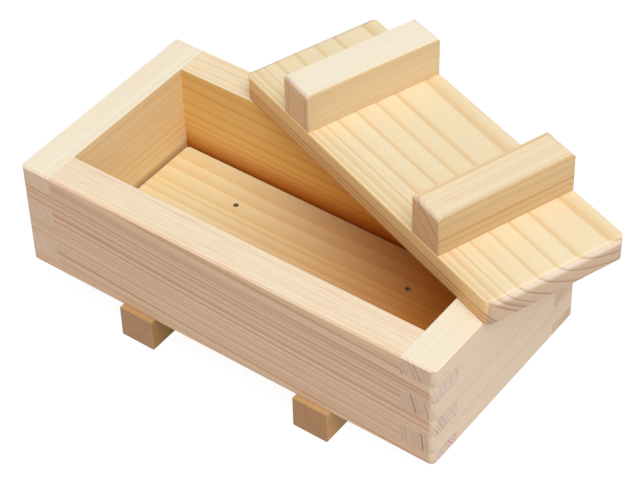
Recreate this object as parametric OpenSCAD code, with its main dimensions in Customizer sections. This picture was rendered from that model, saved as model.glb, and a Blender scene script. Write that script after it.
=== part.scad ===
// Mould for pressed rice blocks, in pale softwood. A finger-jointed frame drops over a loose
// base board that is nailed to two cleats. The press lid, a board with two grip bars nailed
// on from below, lies turned on the frame's rim with its far end over the frame's corner.
// Millimetres. X runs along the frame, the front wall faces -Y, and the cleats stand on Z = 0.
// The origin is the bottom centre of the whole, so the frame's own centre lies beside it.

/* [Frame] */
// Outer length of the frame
frame_len = 240; // [180:1:320]
// Outer width of the frame, over both long walls
frame_wid = 120; // [100:1:180]
// Height of the frame's walls
frame_h = 60.5; // [40:0.5:100]
// Thickness of the front and back walls
side_wall_t = 19; // [10:0.5:22]
// Thickness of the end walls
end_wall_t = 18; // [10:0.5:22]
// Height of the topmost finger of each corner joint
top_finger_h = 10.5; // [6:0.5:14]
// Height of each finger below it, but for the lowest, which takes what is left
finger_h = 10.8; // [7:0.2:14]
// Radius of the frame's upright corners
frame_corner_r = 3.2; // [1:0.2:6]
// Width of the flat on the frame's outer top edges
rim_ease = 1; // [0.2:0.2:3]
// Width of the flat on the frame's outer bottom edges
frame_foot_ease = 0.3; // [0.1:0.1:2]

/* [Base] */
// Thickness of the base board
base_t = 12; // [8:0.5:20]
// Gap between the base board and each long wall
base_side_gap = 1.2; // [0.4:0.2:4]
// Gap between the base board and each end wall, when it lies in the middle
base_end_gap = 1; // [1:0.2:4]
// How far the loose base lies off the frame's middle, to the right
base_slide = 0.6; // [-0.9:0.1:0.9]
// Radius of the base board's corners, seen from above
base_corner_r = 2.5; // [1.5:0.5:10]
// Width of the flat on the base board's long and short edges
base_ease = 0.6; // [0.2:0.2:2]
// Width of each cleat
cleat_w = 20; // [12:1:30]
// Height of each cleat
cleat_h = 18.5; // [16:0.5:30]
// How far each cleat's ends stand out past the long walls
cleat_out = 3; // [0:0.5:10]
// Distance between the cleats' centre lines
cleat_spacing = 104.4; // [60:0.2:130]
// Width of the flat on the cleats' edges
cleat_ease = 0.4; // [0.2:0.2:3]

/* [Lid] */
// Gap that the lid board leaves at each end when it is pressed down inside the frame
lid_end_gap = 1.8; // [1:0.1:6]
// Gap that the lid board leaves along each long wall
lid_side_gap = 2.2; // [1:0.1:6]
// Thickness of the lid board
lid_t = 14; // [9:0.5:20]
// Radius of the lid board's corners, seen from above
lid_corner_r = 6.5; // [3:0.5:10]
// Radius to which the lid board's short edges are rounded over
lid_end_round = 4; // [1:0.2:4.4]
// Width of the flat on the lid board's long edges
lid_ease = 0.5; // [0.2:0.1:2]
// Angle by which the lid is turned clockwise on the rim, seen from above
lid_turn = 19.8; // [10:0.2:30]
// Distance from the frame's right face back to the lid's centre
lid_from_right = 76.2; // [60:0.2:100]
// Distance from the frame's back face in to the lid's centre
lid_from_back = 13.8; // [5:0.2:25]

/* [Grip bars] */
// Width of each bar, along the lid
bar_w = 20.2; // [14:0.2:30]
// Height of each bar above the lid board
bar_h = 22.3; // [16:0.1:35]
// How far each bar's ends stay behind the lid board's long edges
bar_end_inset = 0.2; // [0:0.1:8]
// Distance from the lid board's left end to the left bar
bar_left_inset = 36.9; // [15:0.1:55]
// Distance from the lid board's right end to the right bar
bar_right_inset = 39; // [15:0.1:55]
// Width of the flat on the bars' long top edges
bar_ease = 0.9; // [0.2:0.1:3]
// Width of the flat on the bars' upright corners and bottom edges
bar_foot_ease = 0.3; // [0.1:0.1:2]
// Radius to which the top edges of the bars' ends are rounded over
bar_end_round = 2.8; // [0.5:0.1:6]

/* [Nails] */
// Distance between the two nails in each cleat
base_nail_spacing = 35; // [20:1:60]
// Distance between the two nails under each bar
bar_nail_spacing = 45; // [20:1:60]
// Diameter of a nail's shank
nail_d = 1.6; // [1.2:0.1:2.2]
// Diameter of a nail's head
nail_head_d = 2.7; // [2.6:0.1:4]
// Thickness of a nail's head
nail_head_t = 0.8; // [0.5:0.1:1.5]
// How deep a nail's head is punched below the board's face
nail_sink = 5; // [1:0.5:7]
// How far a nail bites into the cleat or bar behind the board
nail_bite = 13; // [8:0.5:15]
// Length of a nail's point
nail_tip = 2.5; // [1:0.5:4]
// Clearance round a nail in its hole
nail_clear = 0.05; // [0.02:0.01:0.1]

/* [Hidden] */
$fn = 48;

// Heights, from the table up
frame_z = cleat_h;
lid_z = frame_z + frame_h;
bar_z = lid_z + lid_t;

// The opening inside the walls, and the boards that fit in it
opening_len = frame_len - 2 * end_wall_t;
opening_wid = frame_wid - 2 * side_wall_t;
base_len = opening_len - 2 * base_end_gap;
base_wid = opening_wid - 2 * base_side_gap;
lid_len = opening_len - 2 * lid_end_gap;
lid_wid = opening_wid - 2 * lid_side_gap;

finger_levels = 1 + max(1, round((frame_h - top_finger_h) / finger_h));
nail_tip_d = 0.3;
cut_past = 1;
cleat_len = frame_wid + 2 * cleat_out;
bar_len = lid_wid - 2 * bar_end_inset;

// Places in the lid's own frame, whose middle is the lid board's centre
bar_left_x = -lid_len / 2 + bar_left_inset + bar_w / 2;
bar_right_x = lid_len / 2 - bar_right_inset - bar_w / 2;

// Where the turned lid lies, from the frame's centre
lid_x = frame_len / 2 - lid_from_right;
lid_y = frame_wid / 2 - lid_from_back;

// How far the turned lid, with its round corners, reaches from its own centre
lid_arc_x = lid_len / 2 - lid_corner_r;
lid_arc_y = lid_wid / 2 - lid_corner_r;
lid_reach_x = lid_arc_x * cos(lid_turn) + lid_arc_y * sin(lid_turn) + lid_corner_r;
lid_reach_y = lid_arc_x * sin(lid_turn) + lid_arc_y * cos(lid_turn) + lid_corner_r;

// The middle of the whole, seen from above, from the frame's centre
low_x = min(-frame_len / 2, lid_x - lid_reach_x);
high_x = max(frame_len / 2, lid_x + lid_reach_x);
low_y = min(-cleat_len / 2, lid_y - lid_reach_y);
high_y = max(cleat_len / 2, lid_y + lid_reach_y);
centre_x = (low_x + high_x) / 2;
centre_y = (low_y + high_y) / 2;

// Foot and top of a level of the corner joints, counted from the topmost finger down
function level_foot(k) = k == finger_levels - 1 ? 0 : frame_h - top_finger_h - k * finger_h;
function level_top(k) = k == 0 ? frame_h : level_foot(k - 1);

// Half the length of a wall at one level of its joints: full where it has a finger there
function level_reach(half, notch, has_finger) = has_finger ? half : half - notch;

// Outline of a wall, seen square on: fingers at both ends on every other level, first being
// the topmost level that has one. It runs up one end and down the other
function wall_outline(len, notch, first) = concat(
    [for (k = [finger_levels - 1 : -1 : 0], z = [level_foot(k), level_top(k)])
        [level_reach(len / 2, notch, k % 2 == first), z]],
    [for (k = [0 : finger_levels - 1], z = [level_top(k), level_foot(k)])
        [-level_reach(len / 2, notch, k % 2 == first), z]]
);

// A rectangle with its corners cut off at 45 degrees, centred
function cut_rect(x, y, ease) = [
    [-x / 2 + ease, -y / 2], [x / 2 - ease, -y / 2], [x / 2, -y / 2 + ease], [x / 2, y / 2 - ease],
    [x / 2 - ease, y / 2], [-x / 2 + ease, y / 2], [-x / 2, y / 2 - ease], [-x / 2, -y / 2 + ease]
];

// A rectangle standing on the X axis, with its top corners cut off more than its bottom ones
function cut_standing(x, y, top, foot) = [
    [-x / 2 + foot, 0], [x / 2 - foot, 0], [x / 2, foot], [x / 2, y - top],
    [x / 2 - top, y], [-x / 2 + top, y], [-x / 2, y - top], [-x / 2, foot]
];

// A rectangle with round corners, centred
module round_rect(x, y, r) {
    square([x - 2 * r, y], center = true);
    square([x, y - 2 * r], center = true);
    for (sx = [-1, 1], sy = [-1, 1])
        translate([sx * (x / 2 - r), sy * (y / 2 - r)]) circle(r);
}

// Extrudes an outline drawn in X and Z by a length centred on Y
module along_y(len) {
    translate([0, len / 2, 0]) rotate([90, 0, 0]) linear_extrude(len) children();
}

// Extrudes an outline drawn in Y and Z by a length centred on X
module along_x(len) {
    rotate([0, 0, 90]) along_y(len) children();
}

// A rectangle standing on the X axis, with round top corners and its bottom ones cut off
module round_top(x, y, r, foot) {
    polygon(cut_standing(x, y, r, foot));
    for (s = [-1, 1])
        translate([s * (x / 2 - r), y - r]) circle(r);
}

// A block standing on Z = 0 with a flat cut on all twelve edges
module eased_block(x, y, z, ease) {
    intersection() {
        linear_extrude(z) polygon(cut_rect(x, y, ease));
        along_y(y) polygon(cut_standing(x, z, ease, ease));
        along_x(x) polygon(cut_standing(y, z, ease, ease));
    }
}

// A round post with a flat cut on both rims
module eased_post(r, z, ease) {
    rotate_extrude() polygon([[0, 0], [r - ease, 0], [r, ease], [r, z - ease], [r - ease, z], [0, z]]);
}

// A board lying on Z = 0 with round corners and a flat cut on its top and bottom edges
module eased_board(x, y, z, r, ease) {
    translate([0, 0, z / 2]) along_y(y - 2 * r) polygon(cut_rect(x, z, ease));
    translate([0, 0, z / 2]) along_x(x - 2 * r) polygon(cut_rect(y, z, ease));
    for (sx = [-1, 1], sy = [-1, 1])
        translate([sx * (x / 2 - r), sy * (y / 2 - r), 0]) eased_post(r, z, ease);
}

// Everything drawn round the frame's centre line moves here, to its place in the whole
module in_frame(z) {
    translate([-centre_x, -centre_y, z]) children();
}

// The base's pieces, drawn round its own centre line, slid along in the frame
module on_base(z) {
    in_frame(z) translate([base_slide, 0, 0]) children();
}

// The lid's pieces, drawn round the lid board's centre, turned and laid on the rim
module on_rim(z) {
    in_frame(z) translate([lid_x, lid_y, 0]) rotate([0, 0, -lid_turn]) children();
}

// The frame's outside, with round upright corners and its other edges eased
module frame_outside() {
    intersection() {
        linear_extrude(frame_h) round_rect(frame_len, frame_wid, frame_corner_r);
        along_y(frame_wid) polygon(cut_standing(frame_len, frame_h, rim_ease, frame_foot_ease));
        along_x(frame_len) polygon(cut_standing(frame_wid, frame_h, rim_ease, frame_foot_ease));
    }
}

// A long wall: its fingers start one level down. side is -1 in front and 1 at the back
module long_wall(side) {
    in_frame(frame_z) intersection() {
        translate([0, side * (frame_wid - side_wall_t) / 2, 0])
            along_y(side_wall_t) polygon(wall_outline(frame_len, end_wall_t, 1));
        frame_outside();
    }
}

// An end wall: its fingers start at the top. side is -1 on the left and 1 on the right
module end_wall(side) {
    in_frame(frame_z) intersection() {
        translate([side * (frame_len - end_wall_t) / 2, 0, 0])
            along_x(end_wall_t) polygon(wall_outline(frame_wid, side_wall_t, 0));
        frame_outside();
    }
}

// A nail driven up along Z, head down. grown widens it into its own hole, and mouth adds
// the punched hole under the head. Z = 0 is the face of the board that it goes through
module nail(board_t, grown = 0, mouth = false) {
    tip_z = board_t + nail_bite - nail_tip;
    translate([0, 0, nail_sink]) cylinder(h = nail_head_t, d = nail_head_d + 2 * grown);
    translate([0, 0, nail_sink]) cylinder(h = tip_z - nail_sink, d = nail_d + 2 * grown);
    translate([0, 0, tip_z]) cylinder(h = nail_tip, d1 = nail_d + 2 * grown, d2 = nail_tip_d + 2 * grown);
    if (mouth)
        translate([0, 0, -cut_past]) cylinder(h = nail_sink + cut_past, d = nail_head_d + 2 * grown);
}

// The two nails of a pair, along Y, or the holes that they leave
module nail_pair(spacing, board_t, grown = 0, mouth = false) {
    for (s = [-1, 1])
        translate([0, s * spacing / 2, 0]) nail(board_t, grown, mouth);
}

// The pair that holds the base board to a cleat, driven down from the board's top face
module base_nail_pair(grown = 0, mouth = false) {
    translate([0, 0, base_t]) rotate([180, 0, 0])
        nail_pair(base_nail_spacing, base_t, grown, mouth);
}

// The pair that holds a bar to the lid board, driven up from the board's underside
module bar_nail_pair(grown = 0, mouth = false) {
    nail_pair(bar_nail_spacing, lid_t, grown, mouth);
}

module front_wall() {
    color("burlywood") long_wall(-1);
}

module back_wall() {
    color("burlywood") long_wall(1);
}

module left_end_wall() {
    color("wheat") end_wall(-1);
}

module right_end_wall() {
    color("wheat") end_wall(1);
}

module base_board() {
    color("navajowhite") on_base(frame_z) difference() {
        eased_board(base_len, base_wid, base_t, base_corner_r, base_ease);
        for (s = [-1, 1])
            translate([s * cleat_spacing / 2, 0, 0]) base_nail_pair(nail_clear, true);
    }
}

// A cleat under the base board and the frame. side is -1 on the left and 1 on the right
module cleat(side) {
    on_base(0) translate([side * cleat_spacing / 2, 0, 0]) difference() {
        eased_block(cleat_w, cleat_len, cleat_h, cleat_ease);
        translate([0, 0, frame_z]) base_nail_pair(nail_clear);
    }
}

module cleat_left() {
    color("tan") cleat(-1);
}

module cleat_right() {
    color("tan") cleat(1);
}

module base_nails(side) {
    on_base(frame_z) translate([side * cleat_spacing / 2, 0, 0]) base_nail_pair();
}

module base_nails_left() {
    color("silver") base_nails(-1);
}

module base_nails_right() {
    color("silver") base_nails(1);
}

// The lid board without its holes: round corners, round short edges and eased long edges
module lid_blank() {
    intersection() {
        linear_extrude(lid_t) round_rect(lid_len, lid_wid, lid_corner_r);
        translate([0, 0, lid_t / 2]) along_y(lid_wid) round_rect(lid_len, lid_t, lid_end_round);
        translate([0, 0, lid_t / 2]) along_x(lid_len) polygon(cut_rect(lid_wid, lid_t, lid_ease));
    }
}

module lid_board() {
    color("moccasin") on_rim(lid_z) difference() {
        lid_blank();
        for (x = [bar_left_x, bar_right_x])
            translate([x, 0, 0]) bar_nail_pair(nail_clear, true);
    }
}

// A grip bar without its holes: eased long edges, and ends rounded over at the top
module bar_blank() {
    intersection() {
        linear_extrude(bar_h) polygon(cut_rect(bar_w, bar_len, bar_foot_ease));
        along_y(bar_len) polygon(cut_standing(bar_w, bar_h, bar_ease, bar_foot_ease));
        along_x(bar_w) round_top(bar_len, bar_h, bar_end_round, bar_foot_ease);
    }
}

// A grip bar across the lid board at one place along it
module grip_bar(x) {
    on_rim(bar_z) translate([x, 0, 0]) difference() {
        bar_blank();
        translate([0, 0, -lid_t]) bar_nail_pair(nail_clear);
    }
}

module bar_left() {
    color("wheat") grip_bar(bar_left_x);
}

module bar_right() {
    color("wheat") grip_bar(bar_right_x);
}

module bar_nails(x) {
    on_rim(lid_z) translate([x, 0, 0]) bar_nail_pair();
}

module bar_nails_left() {
    color("silver") bar_nails(bar_left_x);
}

module bar_nails_right() {
    color("silver") bar_nails(bar_right_x);
}

front_wall();
back_wall();
left_end_wall();
right_end_wall();
base_board();
cleat_left();
cleat_right();
base_nails_left();
base_nails_right();
lid_board();
bar_left();
bar_right();
bar_nails_left();
bar_nails_right();
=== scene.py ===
"""Looks of the mould for pressed rice: the camera, the light, eased edges and procedural wood.

Points and lengths are written in millimetres from the middle of the frame, at the height of its
underside. at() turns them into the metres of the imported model. The lid's own points are (u, v):
u along the lid board and v across it.
"""
import math

import bpy
from mathutils import Matrix, Vector


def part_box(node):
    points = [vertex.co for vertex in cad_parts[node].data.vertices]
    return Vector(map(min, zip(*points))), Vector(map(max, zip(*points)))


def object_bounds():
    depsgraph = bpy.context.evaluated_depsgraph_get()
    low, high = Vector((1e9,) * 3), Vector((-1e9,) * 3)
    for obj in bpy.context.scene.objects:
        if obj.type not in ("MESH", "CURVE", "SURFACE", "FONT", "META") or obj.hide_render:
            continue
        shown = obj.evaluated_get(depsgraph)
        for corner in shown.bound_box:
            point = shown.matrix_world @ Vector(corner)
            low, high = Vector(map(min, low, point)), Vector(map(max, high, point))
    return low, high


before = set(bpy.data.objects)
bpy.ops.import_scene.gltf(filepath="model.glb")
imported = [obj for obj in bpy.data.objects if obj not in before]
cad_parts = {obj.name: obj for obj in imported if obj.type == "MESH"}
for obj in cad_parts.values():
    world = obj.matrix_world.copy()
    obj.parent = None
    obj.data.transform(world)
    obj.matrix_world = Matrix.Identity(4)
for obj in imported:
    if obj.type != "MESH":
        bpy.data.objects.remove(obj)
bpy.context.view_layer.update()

MM = 0.001
FRAME_CENTRE = Vector((
    (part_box("left_end_wall")[0][0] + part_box("right_end_wall")[1][0]) / 2,
    (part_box("front_wall")[0][1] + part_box("back_wall")[1][1]) / 2,
    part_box("front_wall")[0][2],
))
X, Y, Z = Vector((1, 0, 0)), Vector((0, 1, 0)), Vector((0, 0, 1))


def middle(node):
    """The middle of a node seen from above, in millimetres from the frame's centre."""
    low, high = (Vector(corner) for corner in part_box(node))
    centre = ((low + high) / 2 - FRAME_CENTRE) / MM
    return Vector((centre.x, centre.y, 0.0))


LID_CENTRE = middle("lid_board")
LID_TURN = math.radians(-19.8)
ALONG_LID = Vector((math.cos(LID_TURN), math.sin(LID_TURN), 0.0))
ACROSS_LID = Vector((-math.sin(LID_TURN), math.cos(LID_TURN), 0.0))


def at(point):
    """A point in millimetres from the frame's centre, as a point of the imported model."""
    return FRAME_CENTRE + Vector(point) * MM


def on_lid(u, v, z):
    """A point of the lid, in millimetres from the frame's centre."""
    return LID_CENTRE + ALONG_LID * u + ACROSS_LID * v + Z * z


def rgb(code):
    """A colour written as six hexadecimal digits, as linear red, green, blue and alpha."""
    parts = [int(code[i:i + 2], 16) / 255 for i in (0, 2, 4)]
    return [c / 12.92 if c <= 0.04045 else ((c + 0.055) / 1.055) ** 2.4 for c in parts] + [1.0]


# ---------------------------------------------------------------- camera, floor and light


def add_camera():
    """The photograph's camera, fitted to the edges that it shows."""
    turn, tilt, roll = (math.radians(a) for a in (37.3873, 43.0695, -1.6903))
    back = Vector((math.sin(turn) * math.cos(tilt), -math.cos(turn) * math.cos(tilt), math.sin(tilt)))
    level = Z.cross(back).normalized()
    upright = back.cross(level)
    right = level * math.cos(roll) + upright * math.sin(roll)
    up = upright * math.cos(roll) - level * math.sin(roll)
    data = bpy.data.cameras.new("camera")
    data.sensor_width = 36
    data.lens = 126.3475
    data.clip_end = 20
    camera = bpy.data.objects.new("camera", data)
    place = Matrix((right, up, back)).transposed().to_4x4()
    aside, above, distance = 10.477, 21.295, 1099.256
    place.translation = at(right * aside + up * above + back * distance)
    camera.matrix_world = place
    bpy.context.collection.objects.link(camera)
    bpy.context.scene.camera = camera


def seen_directly(nodes):
    """1 for a ray from the camera, or one that a shiny or clear thing passes on, and 0 for others."""
    path = nodes.add("ShaderNodeLightPath")
    shiny = nodes.math("MAXIMUM", path.outputs["Is Glossy Ray"], path.outputs["Is Transmission Ray"])
    return nodes.math("MAXIMUM", path.outputs["Is Camera Ray"], shiny)


def add_floor():
    """A white floor, with the object's shadow, that throws back no more light than a grey one."""
    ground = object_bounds()[0][2]
    half_width = 12.0
    mesh = bpy.data.meshes.new("floor")
    signs = ((-1, -1), (1, -1), (1, 1), (-1, 1))
    corners = [(x * half_width, y * half_width, ground) for x, y in signs]
    mesh.from_pydata(corners, [], [(0, 1, 2, 3)])
    floor = bpy.data.objects.new("floor", mesh)
    bpy.context.collection.objects.link(floor)
    nodes = Nodes("floor")
    shaded = nodes.add("ShaderNodeBsdfDiffuse", {"Color": (0.12, 0.12, 0.12, 1)}).outputs[0]
    glow = nodes.add("ShaderNodeEmission", {"Color": (1, 1, 1, 1), "Strength": 0.94}).outputs[0]
    white = nodes.add("ShaderNodeAddShader", {0: shaded, 1: glow}).outputs[0]
    grey = nodes.add("ShaderNodeBsdfDiffuse", {"Color": rgb("D8D6D2")}).outputs[0]
    both = nodes.add("ShaderNodeMixShader", {0: seen_directly(nodes), 1: grey, 2: white}).outputs[0]
    nodes.add("ShaderNodeOutputMaterial", {"Surface": both})
    mesh.materials.append(nodes.owner)


def add_light():
    """A pale room, a broad lamp high in front on the right, and a weaker one low on the right."""
    world = bpy.data.worlds.new("room")
    world.use_nodes = True
    world.node_tree.nodes.clear()
    bpy.context.scene.world = world
    nodes = Nodes(world)
    room = nodes.add("ShaderNodeBackground", {"Color": (1, 1, 1, 1), "Strength": 0.42}).outputs[0]
    white = nodes.add("ShaderNodeBackground", {"Color": (1, 1, 1, 1), "Strength": 1.0}).outputs[0]
    both = nodes.add("ShaderNodeMixShader", {0: seen_directly(nodes), 1: room, 2: white}).outputs[0]
    nodes.add("ShaderNodeOutputWorld", {"Surface": both})

    add_lamp("main_lamp", (1800, -1340, 4800), 4.2, 166.0)
    add_lamp("side_lamp", (2000, -250, 600), 1.8, 7.0)


def add_lamp(name, place, size, energy):
    """A round area lamp that looks at the frame, its place in millimetres from the frame's centre."""
    data = bpy.data.lights.new(name, "AREA")
    data.shape = "DISK"
    data.size = size
    data.energy = energy
    lamp = bpy.data.objects.new(name, data)
    lamp.location = at(place)
    lamp.rotation_euler = (at((0, 0, 30)) - lamp.location).to_track_quat("-Z", "Y").to_euler()
    bpy.context.collection.objects.link(lamp)


# ---------------------------------------------------------------- materials


class Nodes:
    """Adds nodes to a new material's tree, or to a world's, and links them."""

    def __init__(self, owner):
        if isinstance(owner, str):
            owner = bpy.data.materials.new(owner)
            owner.use_nodes = True
            owner.node_tree.nodes.clear()
        self.owner = owner
        self.tree = owner.node_tree

    def add(self, kind, inputs=None, **settings):
        node = self.tree.nodes.new(kind)
        for key, value in settings.items():
            setattr(node, key, value)
        for key, value in (inputs or {}).items():
            if isinstance(value, bpy.types.NodeSocket):
                self.tree.links.new(value, node.inputs[key])
            else:
                node.inputs[key].default_value = value
        return node

    def math(self, operation, *values):
        return self.add("ShaderNodeMath", dict(enumerate(values)), operation=operation).outputs[0]

    def vector(self, operation, *values):
        node = self.add("ShaderNodeVectorMath", dict(enumerate(values)), operation=operation)
        return node.outputs["Value" if operation in ("DOT_PRODUCT", "LENGTH") else "Vector"]

    def span(self, value, low, high, to_low=0.0, to_high=1.0, smooth=False):
        """value, carried from low...high to to_low...to_high and held there outside it."""
        inputs = {0: value, 1: low, 2: high, 3: to_low, 4: to_high}
        kind = "SMOOTHSTEP" if smooth else "LINEAR"
        return self.add("ShaderNodeMapRange", inputs, interpolation_type=kind).outputs[0]

    def noise(self, point, stretch, detail=2.0, seed=0.0):
        """Noise from about 0 to 1, stretch being how often it changes a millimetre on each axis."""
        point = self.vector("MULTIPLY", point, stretch)
        point = self.vector("ADD", point, (seed, 0.7 * seed, 1.3 * seed))
        return self.add("ShaderNodeTexNoise", {"Vector": point, "Scale": 1.0, "Detail": detail}).outputs[0]

    def mix(self, factor, first, second, blend="MIX"):
        inputs = {0: factor, 6: first, 7: second}
        return self.add("ShaderNodeMix", inputs, data_type="RGBA", blend_type=blend).outputs[2]

    def pair(self, factor, colours):
        """Between two colours."""
        return self.mix(factor, rgb(colours[0]), rgb(colours[1]))

    def tint(self, factor, colour, tint):
        """A colour, multiplied by a tint as far as factor says."""
        return self.mix(factor, colour, self.mix(1.0, colour, rgb(tint), "MULTIPLY"))

    def ramp(self, value, stops):
        """value, from 0 to 1, through a ramp of (place, grey) stops."""
        node = self.add("ShaderNodeValToRGB", {0: value})
        elements = node.color_ramp.elements
        while len(elements) < len(stops):
            elements.new(1.0)
        for element, (place, grey) in zip(elements, stops):
            element.position = place
            element.color = (grey, grey, grey, 1)
        return node.outputs[0]


# Tints of the wood's fibres and of darker years on end grain, painted shade for the walls of a nail hole,
# and a nail hole's radius.
WARM = "F2C58C"
STREAK = "EEC4A0"
HOLE_SHADE = "2E1E12"
HOLE_RADIUS = 1.35 * MM


def listed_rings(nodes, radius, rings):
    """How late in its year the wood grew, 0 to 1, rings being the radii where the years end."""
    low, high = rings[0] - 6, rings[-1] + 1
    place = nodes.span(radius, low, high)
    stops = [(0.0, 0.0)]
    for inner, outer in zip([low] + rings[:-1], rings):
        if outer - inner > 4:
            stops.append(((inner + (outer - inner) * 0.8 - low) / (high - low), 0.18))
        stops.append(((outer - low) / (high - low), 1.0))
        stops.append((stops[-1][0] + 0.35 / (high - low), 0.0))
    return nodes.ramp(place, stops)


def even_rings(nodes, radius, spacing, seed):
    """The same for years that are all about as wide, some darker than others."""
    years = nodes.math("DIVIDE", radius, spacing)
    inputs = {"W": years, "Scale": 0.31, "Detail": 1.0}
    drift = nodes.add("ShaderNodeTexNoise", inputs, noise_dimensions="1D").outputs[0]
    years = nodes.math("ADD", years, nodes.math("MULTIPLY", drift, 2.2))
    year = nodes.math("FLOOR", years)
    season = nodes.math("FRACT", years)
    late = nodes.math("POWER", season, 2.5)
    late = nodes.math("MULTIPLY", late, nodes.span(season, 0.9, 1.0, 1.0, 0.0))
    pick = nodes.add("ShaderNodeTexWhiteNoise", {"W": nodes.math("ADD", year, seed)}, noise_dimensions="1D")
    return nodes.math("MULTIPLY", late, nodes.span(pick.outputs[0], 0.0, 1.0, 0.35, 1.3))


def growth(nodes, point, rings, spacing, streaks, seed):
    """How late in its year the wood grew, and how much of that is a darker year's doing."""
    warp = nodes.vector("MULTIPLY", point, (0.007, 0.02, 0.02))
    warp = nodes.vector("ADD", warp, (seed, seed, seed))
    warp = nodes.add("ShaderNodeTexNoise", {"Vector": warp, "Scale": 1.0, "Detail": 1.0}).outputs[1]
    warp = nodes.vector("MULTIPLY", nodes.vector("SUBTRACT", warp, (0.5, 0.5, 0.5)), (0, 1.6, 1.6))
    bent = nodes.vector("ADD", point, warp)
    radius = nodes.vector("LENGTH", nodes.vector("MULTIPLY", bent, (0, 1, 1)))
    if rings:
        late = listed_rings(nodes, radius, rings)
    else:
        late = even_rings(nodes, radius, spacing, seed)
    streaked = 0.0
    for centre, width, strength in streaks:
        off = nodes.math("ABSOLUTE", nodes.math("SUBTRACT", radius, centre))
        darker = nodes.span(off, width / 2, 0.0, 0.0, strength, smooth=True)
        streaked = nodes.math("ADD", streaked, darker)
    return nodes.math("ADD", late, streaked), streaked


def facing(nodes, normal, direction):
    """1 on the faces that look one way."""
    return nodes.span(nodes.vector("DOT_PRODUCT", normal, direction), 0.6, 0.7)


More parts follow.
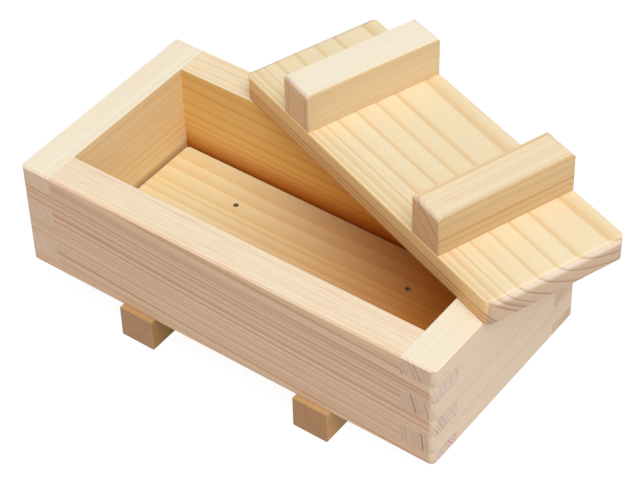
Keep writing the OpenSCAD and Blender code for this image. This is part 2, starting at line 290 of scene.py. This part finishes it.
def wood(node, grain, pith, colours, end, rings=None, spacing=2.0, faces=(), edge=None, corner=None,
         rounded=None, end_from=0.35, streaks=(), lines=0.3, grit=0.4, painted_far_shade=None, painted_crease_shade=None, holes=(),
         seed=0.0):
    """Gives a node planed softwood whose years run round an axis along the grain through pith.

    colours is the pale wood of a year's start and the dark wood of its end. end is the same on end
    grain, rounded where that is rounded over, edge on the slanting top edges, corner on the upright
    ones, and faces on the faces that look one way; those face colours are partly the wood's own on
    that cut and partly painted shade, warmer and darker on faces that sit in shade. rings lists the
    radii where the years end, or else they are spacing wide, and streaks are (radius, width,
    strength) of darker years. lines and grit are how strong the long lines and the fibres are. blush
    and foot are (tint, from, to), painted shade for the warm shade deep inside the box: faces take on
    a painted warmer, darker tint that grows along the grain, for the shade under the lid, and those
    that look to the front take one lower down, for the shade in the crease above the base board.
    holes are the (x, y) of nail holes, in metres, and their walls are painted dark as the shade in them.
    """
    side = Z.cross(grain).normalized()
    turn = Matrix((grain, side, grain.cross(side))).transposed().to_euler()
    nodes = Nodes("wood_" + node)
    coords = nodes.add("ShaderNodeTexCoord")
    place, normal = coords.outputs["Object"], coords.outputs["Normal"]
    inputs = {"Vector": place, "Location": at(pith), "Rotation": turn, "Scale": (MM,) * 3}
    point = nodes.add("ShaderNodeMapping", inputs, vector_type="TEXTURE").outputs[0]

    late, streaked = growth(nodes, point, rings, spacing, streaks, seed)
    fine = nodes.noise(point, (0.02, 1.3, 1.3), 3.0, seed)
    broad = nodes.noise(point, (0.006, 0.12, 0.12), 2.0, seed + 5)
    long = nodes.noise(point, (0.003, 0.9, 0.9), 3.0, seed + 9)
    late = nodes.math("ADD", late, nodes.math("MULTIPLY", nodes.math("SUBTRACT", fine, 0.5), grit))
    lined = nodes.math("ADD", late, nodes.span(long, 0.45, 0.75, -0.2 * lines, lines))

    along, across, upward = (nodes.math("ABSOLUTE", nodes.vector("DOT_PRODUCT", normal, axis))
                             for axis in (grain, side, Z))
    upright = nodes.span(upward, 0.4, 0.2)
    colour = nodes.pair(lined, colours)
    # Face colours by facing are partly the wood's own colour on that cut and partly painted shade, warmer
    # and darker on faces in shade.
    for direction, pale, dark in faces:
        face = nodes.pair(lined, (pale, dark))
        # Painted shade: a warmer, darker tint that grows along the grain, for the shade under the lid.
        if painted_far_shade:
            far = nodes.add("ShaderNodeSeparateXYZ", {0: point}).outputs[0]
            face = nodes.tint(nodes.span(far, painted_far_shade[1], painted_far_shade[2]), face, painted_far_shade[0])
        colour = nodes.mix(facing(nodes, normal, direction), colour, face)
    if edge:
        slant = nodes.math("MULTIPLY", nodes.span(upward, 0.97, 0.85), nodes.span(upward, 0.3, 0.5))
        colour = nodes.mix(slant, colour, nodes.pair(lined, edge))
    turned = nodes.math("MULTIPLY", nodes.span(along, 0.5, 0.65), upright)
    cut = nodes.math("MAXIMUM", nodes.span(along, end_from, end_from + 0.1), turned)
    thin = nodes.math("POWER", nodes.math("MAXIMUM", late, 0.0), 1.6)
    face = nodes.tint(streaked, nodes.pair(thin, end), STREAK)
    if rounded:
        face = nodes.mix(nodes.span(upward, 0.25, 0.6), face, nodes.pair(thin, rounded))
    colour = nodes.mix(cut, colour, face)
    if corner:
        slant = nodes.span(nodes.math("MAXIMUM", along, across), 0.99, 0.93)
        colour = nodes.mix(nodes.math("MULTIPLY", slant, upright), colour, nodes.pair(late, corner))

    fibres = nodes.span(fine, 0.35, 0.75, 0.0, 0.12)
    patches = nodes.span(broad, 0.35, 0.75, 0.0, 0.1)
    colour = nodes.tint(nodes.math("ADD", fibres, patches), colour, WARM)
    # Painted shade: faces that look to the front darken lower down, for the shade in the crease above the
    # base board.
    if painted_crease_shade:
        height = nodes.vector("DOT_PRODUCT", place, (0, 0, 1))
        low, high = (at((0, 0, z)).z for z in painted_crease_shade[1:])
        deep = nodes.span(height, high, low, smooth=True)
        colour = nodes.tint(nodes.math("MULTIPLY", deep, facing(nodes, normal, -Y)), colour, painted_crease_shade[0])
    # Painted shade: each nail hole's walls and a thin ring round its mouth are painted dark, for the shade
    # down in the hole.
    for x, y in holes:
        away = nodes.vector("SUBTRACT", nodes.vector("MULTIPLY", place, (1, 1, 0)), (x, y, 0))
        inside = nodes.span(nodes.vector("LENGTH", away), HOLE_RADIUS + 0.2 * MM, HOLE_RADIUS - 0.05 * MM)
        colour = nodes.mix(inside, colour, rgb(HOLE_SHADE))

    smooth = nodes.span(late, 0.0, 1.0, 0.62, 0.52)
    rough = nodes.math("ADD", smooth, nodes.span(fine, 0.3, 0.7, -0.05, 0.05))
    height = nodes.math("ADD", fine, nodes.math("MULTIPLY", late, 0.5))
    bump = nodes.add("ShaderNodeBump", {"Height": height, "Strength": 0.25, "Distance": 0.0001}).outputs[0]
    inputs = {"Base Color": colour, "Roughness": rough, "Normal": bump, "Specular IOR Level": 0.3}
    surface = nodes.add("ShaderNodeBsdfPrincipled", inputs).outputs[0]
    nodes.add("ShaderNodeOutputMaterial", {"Surface": surface})
    dress(node, nodes.owner)


def nail_places(pair):
    """Where the two nails of a node stand, seen from above, in metres."""
    low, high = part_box(pair)
    half = (high[0] - low[0]) / 2
    return [(low[0] + half, low[1] + half), (low[0] + half, high[1] - half)]


def dress(node, material):
    """Gives all of a node's faces one material."""
    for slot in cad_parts[node].material_slots:
        slot.link = "OBJECT"
        slot.material = material


def soften(node, width):
    """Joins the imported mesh's split corners and rounds its edges a little."""
    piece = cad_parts[node]
    weld = piece.modifiers.new("weld", "WELD")
    weld.merge_threshold = 0.01 * MM
    flat = piece.modifiers.new("flat", "DECIMATE")
    flat.decimate_type = "DISSOLVE"
    flat.angle_limit = math.radians(0.5)
    bevel = piece.modifiers.new("edges", "BEVEL")
    bevel.limit_method = "ANGLE"
    bevel.angle_limit = math.radians(25)
    bevel.width = width * MM
    bevel.segments = 2
    bevel.harden_normals = True


def steel(node):
    """Nail wire, a little scuffed, its colour darkened as painted shade for heads that sit deep in their
    holes.
    """
    nodes = Nodes("steel_" + node)
    point = nodes.add("ShaderNodeTexCoord").outputs["Object"]
    scuff = nodes.noise(point, (900.0, 900.0, 300.0), 3.0)
    # Painted shade: both colours are darker than bare steel, for the shade deep in the nail holes.
    colour = nodes.mix(scuff, rgb("1A1816"), rgb("302C28"))
    rough = nodes.span(scuff, 0.2, 0.8, 0.28, 0.5)
    inputs = {"Base Color": colour, "Metallic": 1.0, "Roughness": rough}
    surface = nodes.add("ShaderNodeBsdfPrincipled", inputs).outputs[0]
    nodes.add("ShaderNodeOutputMaterial", {"Surface": surface})
    dress(node, nodes.owner)


bpy.context.scene.view_settings.view_transform = "Standard"
add_camera()
add_floor()
add_light()

# The faces colours below are partly painted shade: inner faces, sides and ends are warmer and darker than
# the tops where they sit in shade.
CORNER = ("E6D0B8", "DCC1A8")
LONG_WALL_END = ("E7CFBF", "AA8A80")
wood("front_wall", Vector((0.9986, 0, -0.0523)), (0, 50, 83), ("FCECD0", "F2CCAE"), LONG_WALL_END,
     spacing=1.6, faces=((-Y, "EACCAC", "CD987C"), (Y, "F3DDAA", "E2B070")), edge=("F8DCB6", "EEC094"),
     corner=CORNER, end_from=0.85, lines=0.4,
     streaks=((114.6, 0.5, 0.5), (116.0, 0.4, 0.5), (117.6, 0.6, 0.5), (119.6, 0.4, 0.4)),
     seed=1.0)
# back_wall and base_board carry painted shade: blush for the shade under the lid, foot for the shade in the
# crease above the base board.
wood("back_wall", Vector((0.999, 0, -0.04)), (0, -40, 96), ("FFEECB", "F6D3A2"), ("E2C6AC", "A88468"),
     spacing=3.2, faces=((-Y, "F5CE84", "E4AB61"),), corner=CORNER, end_from=0.85, lines=0.12, grit=0.2,
     painted_far_shade=("FFE6A9", -60, 20), painted_crease_shade=("CC9450", 11, 27), seed=2.0)
wood("left_end_wall", Y, (-241, 0, -26), ("FEF5DE", "F9E9CC"), ("ECCFB5", "C9A88E"),
     faces=((X, "F6E0B4", "EDCE98"),), edge=("FBECD0", "F6E2C0"), corner=CORNER,
     end_from=0.85, lines=0.08, seed=3.0)
wood("right_end_wall", Y, (-19, 0, -6), ("FDF5DE", "F9EBCE"), ("E2C4AC", "AA846A"), spacing=1.5,
     faces=((X, "EAD7BF", "E4CCB2"), (-X, "F3DDAA", "E8C68A")), edge=("FBECD0", "F6E2C0"),
     corner=CORNER, end_from=0.85, streaks=((134.0, 0.9, 1.0), (143.4, 0.6, 1.2), (140.8, 0.5, 0.8)),
     seed=4.0)
wood("base_board", X, (0, 60, -120), ("F5EBC2", "EFD7A0"), ("E8C898", "B08A5C"),
     rings=[133, 135.2, 137.2, 140.2, 141.5, 143.8, 147.2, 151.3, 156.5, 162.3],
     faces=((Z, "F5EBC2", "EFD7A0"),), painted_far_shade=("DAA05E", -70, 70), lines=0.15, grit=0.15,
     holes=nail_places("base_nails_left") + nail_places("base_nails_right"), seed=5.0)
wood("cleat_left", Y, (-90, 0, 30), ("CFA873", "B98A55"), ("BD9370", "9A7350"), spacing=1.6,
     faces=((X, "B08A52", "987036"),), seed=6.0)
wood("cleat_right", Y, (90, 0, 10), ("D2AC78", "BA8C55"), ("BD9268", "926A42"), spacing=1.8,
     faces=((X, "CBA372", "B3844F"),), seed=7.0)
wood("lid_board", ALONG_LID, on_lid(0, 50.7, 166.6), ("FBECC8", "EFD09C"), ("D6BAA0", "AA866C"),
     rings=[94.5, 99.8, 104.7, 110.6, 117.1, 121.6, 124.9, 127.4, 134.6, 136.4, 138.2],
     faces=((-ACROSS_LID, "FFDAA0", "CE9056"),), rounded=("EFDCC8", "CDAE94"), end_from=0.5,
     lines=0.1, grit=0.1, seed=8.0)
wood("bar_left", ACROSS_LID, on_lid(-120, 0, 88), ("FDF6E0", "F9EBCC"), ("F2D0A8", "B98864"), spacing=2.2,
     faces=((ALONG_LID, "E9D3AB", "D9AE75"),), rounded=("F6E2CE", "DDBBA2"), end_from=0.4, seed=9.0)
wood("bar_right", ACROSS_LID, on_lid(0, 0, 20), ("FAE8C6", "EECB98"), ("E8BF91", "A37450"), spacing=1.7,
     faces=((ALONG_LID, "DBBE91", "C89B64"),), rounded=("F0D8BC", "D0A88A"), end_from=0.4, grit=0.3,
     seed=10.0)
for name in ("base_nails_left", "base_nails_right", "bar_nails_left", "bar_nails_right"):
    steel(name)

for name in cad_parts:
    soften(name, 0.1 if "nails" in name else 0.25)
